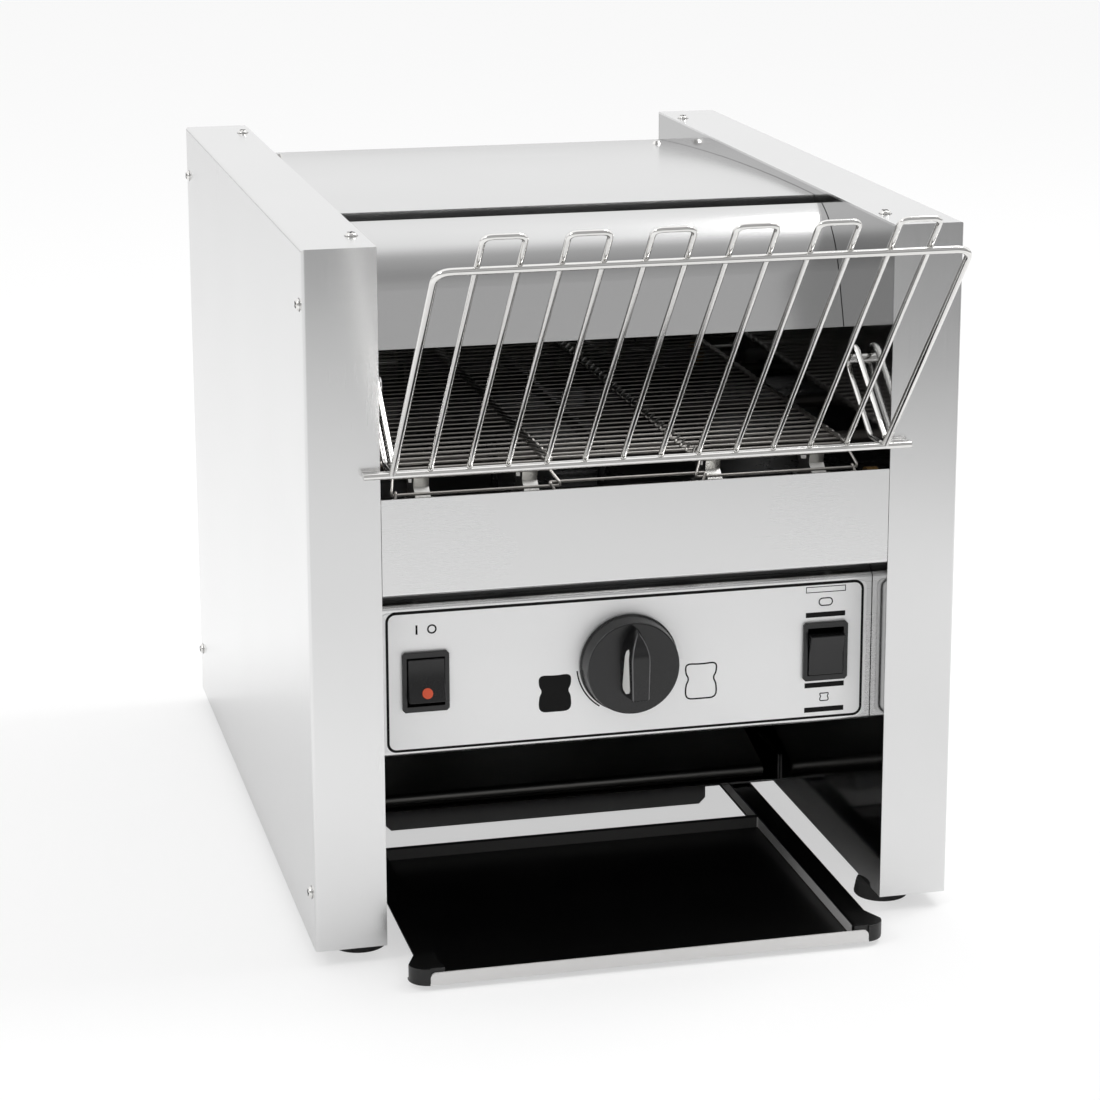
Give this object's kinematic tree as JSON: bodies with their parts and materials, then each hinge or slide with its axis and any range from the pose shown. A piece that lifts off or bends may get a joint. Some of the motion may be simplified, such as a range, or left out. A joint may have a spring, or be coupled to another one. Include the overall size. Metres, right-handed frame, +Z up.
{
  "type": "conveyor toaster",
  "caption": "Table-top conveyor toaster: wire belt between upper and lower heaters, sloping wire loading rack, curved hood, discharge chute and pull-out toast tray.",
  "frame": {"origin": "middle of the whole bounding box in X and Y, on the counter at the soles of the feet", "axes": "+X to the right seen from the front, +Y towards the back, +Z up; the loading rack and the controls face -Y"},
  "size_m": [0.3724, 0.643, 0.4302],
  "materials": {
    "black_plastic": "fine matt black",
    "bright_wire": "polished stainless wire",
    "bronze": "sintered bronze",
    "ceramic": "unglazed ceramic",
    "chain_steel": "oiled dark steel",
    "foot_rubber": "matt black",
    "heater_sheath": "dark oxidised metal sheath",
    "lamp_lens": "orange-red translucent lens",
    "machined_steel": "turned and milled steel",
    "mirror_steel": "bright polished stainless sheet",
    "motor_alloy": "cast alloy",
    "satin_steel": "satin stainless sheet",
    "white_mark": "white inlay"
  },
  "bodies": {
    "toaster_body": {"back_panel": "satin_steel", "base_pan": "satin_steel", "belt_rails": "satin_steel", "cable_gland": "black_plastic", "chassis_wall_left": "mirror_steel", "chassis_wall_right": "mirror_steel", "control_box": "satin_steel", "control_overlay": "satin_steel", "control_panel": "satin_steel", "cover_screws": "bright_wire", "discharge_chute": "mirror_steel", "drive_chain": "chain_steel", "fascia": "satin_steel", "foot_front_left": "foot_rubber", "foot_front_right": "foot_rubber", "foot_rear_left": "foot_rubber", "foot_rear_right": "foot_rubber", "front_hood": "mirror_steel", "gear_motor": "motor_alloy", "heater_end_caps": "ceramic", "heater_guard": "bright_wire", "lower_heaters": "heater_sheath", "lower_reflector": "mirror_steel", "mode_switch_housing": "black_plastic", "panel_screws": "bright_wire", "power_switch_housing": "black_plastic", "rack_pegs": "bright_wire", "shaft_bushes": "bronze", "side_panel_left": "satin_steel", "side_panel_right": "satin_steel", "side_screws_left": "bright_wire", "side_screws_right": "bright_wire", "speed_regulator": "black_plastic", "top_cover": "satin_steel", "top_screws_left": "bright_wire", "top_screws_right": "bright_wire", "tray_guides": "satin_steel", "upper_heaters": "heater_sheath", "upper_reflector": "mirror_steel", "wire_belt": "bright_wire"},
    "power_rocker": {"power_rocker": "black_plastic", "power_lamp": "lamp_lens"},
    "mode_rocker": {"mode_rocker": "black_plastic"},
    "speed_knob": {"knob": "black_plastic", "knob_marker": "white_mark", "knob_spindle": "machined_steel"},
    "front_drive_shaft": {"front_shaft": "machined_steel", "front_sprockets": "machined_steel", "driven_sprocket": "machined_steel"},
    "rear_idler_shaft": {"rear_shaft": "machined_steel", "rear_sprockets": "machined_steel"},
    "motor_output": {"motor_spindle": "machined_steel", "motor_sprocket": "machined_steel"},
    "tray": {"toast_tray": "mirror_steel"},
    "loading_rack": {"rack_frame": "bright_wire", "rack_front_rod": "bright_wire", "rack_rear_rod": "bright_wire", "rack_slats": "bright_wire", "rack_hooks": "bright_wire"}
  },
  "joints": [
    {"name": "power_rocker_tilt", "type": "hinge", "parent": "toaster_body", "child": "power_rocker", "pos_m": [-0.116, -0.15163, 0.1525], "axis": [1, 0, 0], "range_deg": [0, 20]},
    {"name": "mode_rocker_tilt", "type": "hinge", "parent": "toaster_body", "child": "mode_rocker", "pos_m": [0.116, -0.15163, 0.1525], "axis": [1, 0, 0], "range_deg": [-20, 0]},
    {"name": "speed_knob_turn", "type": "hinge", "parent": "toaster_body", "child": "speed_knob", "pos_m": [0, -0.15453, 0.1545], "axis": [0, 1, 0], "range_deg": [-135, 135]},
    {"name": "front_shaft_turn", "type": "hinge", "parent": "toaster_body", "child": "front_drive_shaft", "pos_m": [0, -0.14853, 0.2485], "axis": [1, 0, 0], "continuous": true},
    {"name": "rear_shaft_turn", "type": "hinge", "parent": "toaster_body", "child": "rear_idler_shaft", "pos_m": [0, 0.20847, 0.2485], "axis": [1, 0, 0], "continuous": true},
    {"name": "motor_output_turn", "type": "hinge", "parent": "toaster_body", "child": "motor_output", "pos_m": [0.1517, -0.08353, 0.16], "axis": [1, 0, 0], "continuous": true},
    {"name": "tray_pull", "type": "slide", "parent": "toaster_body", "child": "tray", "axis": [0, -1, 0], "range_m": [0, 0.12]},
    {"name": "rack_lift", "type": "hinge", "parent": "toaster_body", "child": "loading_rack", "pos_m": [0, -0.12878, 0.3156], "axis": [-1, 0, 0], "range_deg": [0, 60]}
  ],
  "couplings": [
    {"joint": "rear_shaft_turn", "follows": "front_shaft_turn", "ratio": 1},
    {"joint": "motor_output_turn", "follows": "front_shaft_turn", "ratio": 1}
  ]
}
